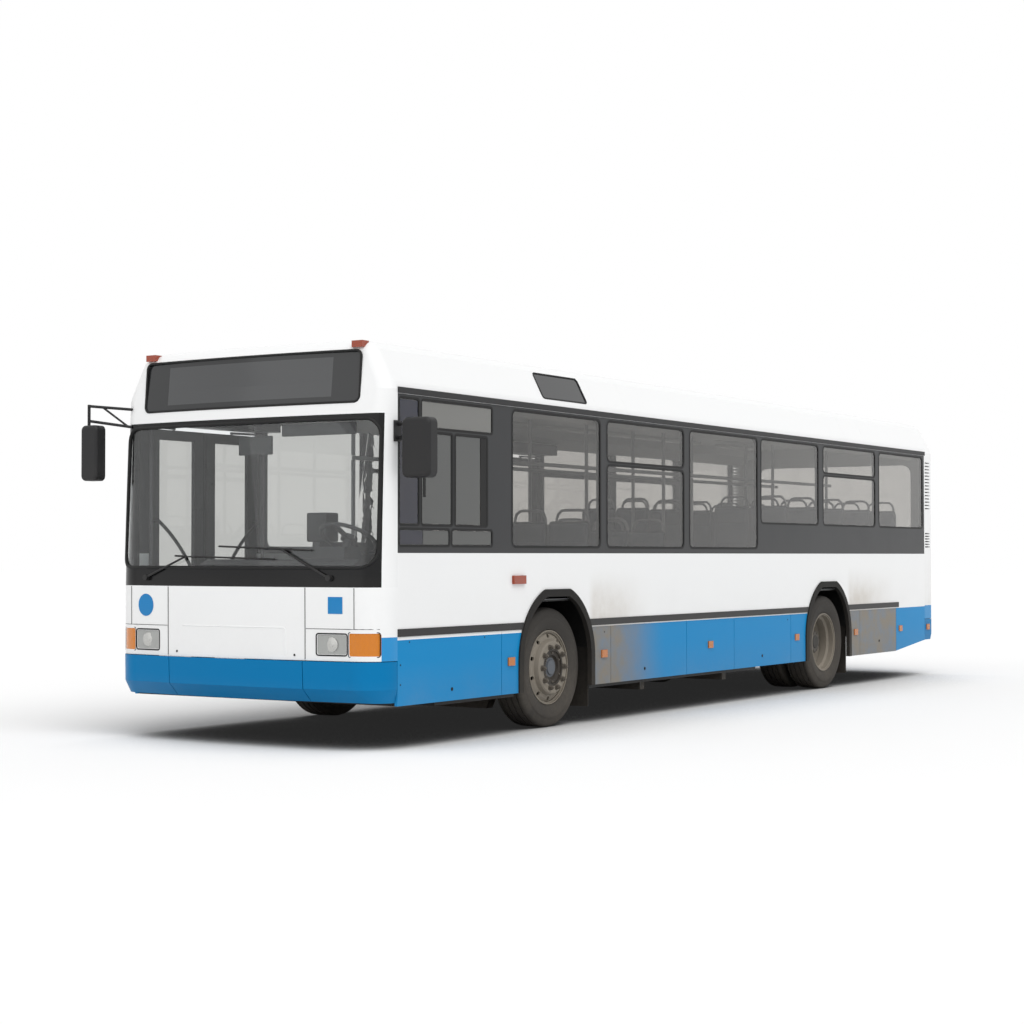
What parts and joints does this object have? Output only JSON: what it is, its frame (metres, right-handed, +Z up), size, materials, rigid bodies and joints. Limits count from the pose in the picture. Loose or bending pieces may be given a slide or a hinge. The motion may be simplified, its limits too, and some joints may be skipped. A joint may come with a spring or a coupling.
{
  "type": "city bus",
  "caption": "City bus with a low floor at the front, a bowed windscreen, a dark window band, doors that glide inwards, steered front wheels and a lid over the engine.",
  "frame": {"origin": "on the ground below the middle of the bus's overall box", "axes": "+X to the driver's side (the bus's left), +Y to the rear, +Z up"},
  "size_m": [3.15, 11.1, 2.958],
  "materials": {
    "white_paint": "gloss, a little dusty",
    "blue_paint": "gloss, a little dusty",
    "dark_band": "satin black",
    "black_rubber": "matte",
    "black_plastic": "fine grain",
    "tinted_glass": "grey tint",
    "clear_glass": "clear",
    "sign_glass": "gloss",
    "lamp_lens": "clear ribbed lens",
    "amber_lens": "amber lens",
    "red_lens": "red lens",
    "tyre": "dusty sidewall",
    "wheel_steel": "dusty grey paint",
    "chassis_black": "chassis paint",
    "cast_metal": "raw",
    "floor_grey": "studded lining",
    "lining_grey": "smooth lining",
    "seat_grey": "flat woven cover",
    "handrail": "gloss",
    "dash_grey": "fine grain"
  },
  "bodies": {
    "body": {"left_side_wall": "white_paint", "right_side_wall": "white_paint", "side_skirts": "blue_paint", "window_bands": "dark_band", "saloon_windows": "tinted_glass", "body_rails": "dark_band", "arch_trims": "black_rubber", "roof_shell": "white_paint", "front_mask": "white_paint", "front_lamps": "lamp_lens", "windscreen_surround": "black_rubber", "windscreen": "clear_glass", "front_header": "white_paint", "destination_signs": "sign_glass", "rear_wall": "white_paint", "rear_lamps": "red_lens", "bumpers": "blue_paint", "ceiling_lining": "lining_grey", "floor_deck": "floor_grey", "chassis_frame": "chassis_black", "engine_block": "cast_metal", "front_axle": "cast_metal", "rear_axle": "cast_metal", "air_springs": "black_rubber", "door_gear": "black_plastic", "mirrors": "black_plastic", "wipers": "black_plastic", "side_markers": "amber_lens", "passenger_seats": "seat_grey", "driver_seat": "seat_grey", "dashboard": "dash_grey", "cab_partition": "dash_grey", "handrails": "handrail"},
    "left_steer": {"left_knuckle": "cast_metal"},
    "front_left_wheel_body": {"front_left_wheel": "wheel_steel", "front_left_tyre": "tyre"},
    "rear_left_wheel_body": {"rear_left_wheels": "wheel_steel", "rear_left_tyres": "tyre"},
    "right_steer": {"right_knuckle": "cast_metal"},
    "front_right_wheel_body": {"front_right_wheel": "wheel_steel", "front_right_tyre": "tyre"},
    "rear_right_wheel_body": {"rear_right_wheels": "wheel_steel", "rear_right_tyres": "tyre"},
    "front_door_front_leaf_arm_body": {"front_door_front_leaf_arms": "chassis_black"},
    "front_door_front_leaf_body": {"front_door_front_leaf": "dark_band", "front_door_front_leaf_pane": "tinted_glass"},
    "front_door_rear_leaf_arm_body": {"front_door_rear_leaf_arms": "chassis_black"},
    "front_door_rear_leaf_body": {"front_door_rear_leaf": "dark_band", "front_door_rear_leaf_pane": "tinted_glass"},
    "middle_door_front_leaf_arm_body": {"middle_door_front_leaf_arms": "chassis_black"},
    "middle_door_front_leaf_body": {"middle_door_front_leaf": "dark_band", "middle_door_front_leaf_pane": "tinted_glass"},
    "middle_door_rear_leaf_arm_body": {"middle_door_rear_leaf_arms": "chassis_black"},
    "middle_door_rear_leaf_body": {"middle_door_rear_leaf": "dark_band", "middle_door_rear_leaf_pane": "tinted_glass"},
    "front_roof_hatch_body": {"front_roof_hatch": "white_paint"},
    "rear_roof_hatch_body": {"rear_roof_hatch": "white_paint"},
    "engine_lid_body": {"engine_lid": "white_paint"}
  },
  "joints": [
    {"name": "left_steering", "type": "hinge", "parent": "body", "child": "left_steer", "pos_m": [0.905, -3.035, 0.48], "axis": [0, 0, 1], "range_deg": [-40, 40]},
    {"name": "front_left_wheel_spin", "type": "hinge", "parent": "left_steer", "child": "front_left_wheel_body", "pos_m": [1.053, -3.035, 0.48], "axis": [1, 0, 0], "continuous": true},
    {"name": "rear_left_wheel_spin", "type": "hinge", "parent": "body", "child": "rear_left_wheel_body", "pos_m": [1.078, 2.415, 0.48], "axis": [1, 0, 0], "continuous": true},
    {"name": "right_steering", "type": "hinge", "parent": "body", "child": "right_steer", "pos_m": [-0.905, -3.035, 0.48], "axis": [0, 0, 1], "range_deg": [-40, 40]},
    {"name": "front_right_wheel_spin", "type": "hinge", "parent": "right_steer", "child": "front_right_wheel_body", "pos_m": [-1.053, -3.035, 0.48], "axis": [1, 0, 0], "continuous": true},
    {"name": "rear_right_wheel_spin", "type": "hinge", "parent": "body", "child": "rear_right_wheel_body", "pos_m": [-1.078, 2.415, 0.48], "axis": [1, 0, 0], "continuous": true},
    {"name": "front_door_open", "type": "hinge", "parent": "body", "child": "front_door_front_leaf_arm_body", "pos_m": [-1.172, -5.132, 1], "axis": [0, 0, -1], "range_deg": [0, 90]},
    {"name": "front_door_front_leaf_turn", "type": "hinge", "parent": "front_door_front_leaf_arm_body", "child": "front_door_front_leaf_body", "pos_m": [-1.232, -4.812, 1], "axis": [0, 0, -1], "range_deg": [-180, 0]},
    {"name": "front_door_rear_arm", "type": "hinge", "parent": "body", "child": "front_door_rear_leaf_arm_body", "pos_m": [-1.172, -3.788, 1], "axis": [0, 0, 1], "range_deg": [0, 90]},
    {"name": "front_door_rear_leaf_turn", "type": "hinge", "parent": "front_door_rear_leaf_arm_body", "child": "front_door_rear_leaf_body", "pos_m": [-1.232, -4.108, 1], "axis": [0, 0, 1], "range_deg": [-180, 0]},
    {"name": "middle_door_open", "type": "hinge", "parent": "body", "child": "middle_door_front_leaf_arm_body", "pos_m": [-1.172, -0.667, 1], "axis": [0, 0, -1], "range_deg": [0, 90]},
    {"name": "middle_door_front_leaf_turn", "type": "hinge", "parent": "middle_door_front_leaf_arm_body", "child": "middle_door_front_leaf_body", "pos_m": [-1.232, -0.347, 1], "axis": [0, 0, -1], "range_deg": [-180, 0]},
    {"name": "middle_door_rear_arm", "type": "hinge", "parent": "body", "child": "middle_door_rear_leaf_arm_body", "pos_m": [-1.172, 0.677, 1], "axis": [0, 0, 1], "range_deg": [0, 90]},
    {"name": "middle_door_rear_leaf_turn", "type": "hinge", "parent": "middle_door_rear_leaf_arm_body", "child": "middle_door_rear_leaf_body", "pos_m": [-1.232, 0.357, 1], "axis": [0, 0, 1], "range_deg": [-180, 0]},
    {"name": "front_roof_hatch_tilt", "type": "hinge", "parent": "body", "child": "front_roof_hatch_body", "pos_m": [0, -2.41, 2.926], "axis": [1, 0, 0], "range_deg": [0, 60]},
    {"name": "rear_roof_hatch_tilt", "type": "hinge", "parent": "body", "child": "rear_roof_hatch_body", "pos_m": [0, 2.89, 2.926], "axis": [1, 0, 0], "range_deg": [0, 60]},
    {"name": "engine_lid_lift", "type": "hinge", "parent": "body", "child": "engine_lid_body", "pos_m": [0, 5.53, 1.327], "axis": [1, 0, 0], "range_deg": [0, 75]}
  ],
  "couplings": [
    {"joint": "right_steering", "follows": "left_steering", "ratio": 1},
    {"joint": "front_door_front_leaf_turn", "follows": "front_door_open", "ratio": -2},
    {"joint": "front_door_rear_arm", "follows": "front_door_open", "ratio": 1},
    {"joint": "front_door_rear_leaf_turn", "follows": "front_door_open", "ratio": -2},
    {"joint": "middle_door_front_leaf_turn", "follows": "middle_door_open", "ratio": -2},
    {"joint": "middle_door_rear_arm", "follows": "middle_door_open", "ratio": 1},
    {"joint": "middle_door_rear_leaf_turn", "follows": "middle_door_open", "ratio": -2}
  ]
}
